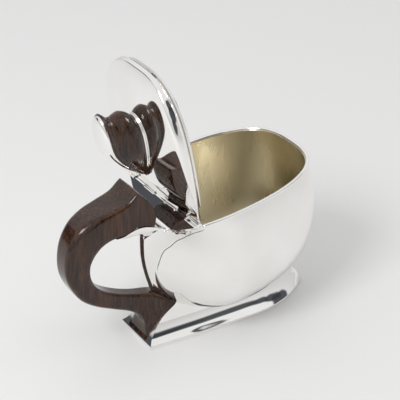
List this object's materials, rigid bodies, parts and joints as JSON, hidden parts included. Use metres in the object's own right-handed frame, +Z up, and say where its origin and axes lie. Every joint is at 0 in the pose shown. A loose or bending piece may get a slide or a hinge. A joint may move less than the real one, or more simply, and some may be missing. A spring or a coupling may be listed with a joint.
{
  "type": "lidded sauce boat",
  "caption": "Silver sauce boat with a gilt egg-shaped bowl, boat-shaped foot, hinged domed lid with a wooden finial and a scrolled dark wood handle.",
  "frame": {"origin": "on the table, under the middle of the whole length, in the mirror plane", "axes": "+X towards the pouring end, +Y along the hinge, +Z up"},
  "size_m": [0.1722, 0.0956, 0.1826],
  "materials": {
    "silver": "polished",
    "gilt": "satin",
    "rosewood": "gloss"
  },
  "bodies": {
    "body": {"bowl_shell": "silver", "gilt_lining": "gilt", "rim_wire": "silver", "neck": "silver", "rear_web": "silver", "foot_shell": "silver", "foot_border": "silver", "handle_grip": "rosewood", "handle_pin": "silver", "handle_foot_screw": "silver", "body_knuckles": "silver", "hinge_pin": "silver"},
    "lid": {"lid_shell": "silver", "lid_gilding": "gilt", "lid_bezel": "silver", "lid_knuckles": "silver", "finial_collar": "silver", "finial_knob": "rosewood", "finial_cap": "silver", "finial_stud": "silver", "finial_nut": "silver", "finial_washer": "silver"}
  },
  "joints": [
    {"name": "lid_hinge", "type": "hinge", "parent": "body", "child": "lid", "pos_m": [-0.0165, 0, 0.0926], "axis": [0, 1, 0], "range_deg": [0, 90.7]}
  ]
}
